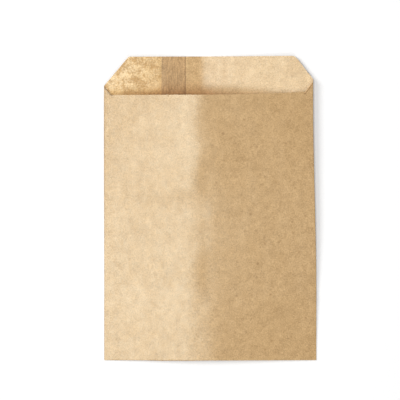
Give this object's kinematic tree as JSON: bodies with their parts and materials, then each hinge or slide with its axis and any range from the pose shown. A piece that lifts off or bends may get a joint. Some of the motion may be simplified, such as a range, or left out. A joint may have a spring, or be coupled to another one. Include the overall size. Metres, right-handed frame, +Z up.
{
  "type": "flat paper bag",
  "caption": "Small flat bag of brown kraft paper with a lip at its mouth, slanted lip corners, a lap seam down its back and a glued bottom flap. It lies flat, its mouth a little open.",
  "frame": {"origin": "centre of the bag's bounding box in plan, at the level of the surface it lies on", "axes": "+Y along the bag towards its mouth, +X to the right seen from the front wall, +Z up through the front wall, away from the surface it lies on"},
  "size_m": [0.1306, 0.1869, 0.0091],
  "materials": {
    "kraft_paper": "brown kraft paper, machine glazed to a soft shine on the outside and matt inside, no print"
  },
  "bodies": {
    "root": {"paper_bag": "kraft_paper"}
  },
  "joints": []
}
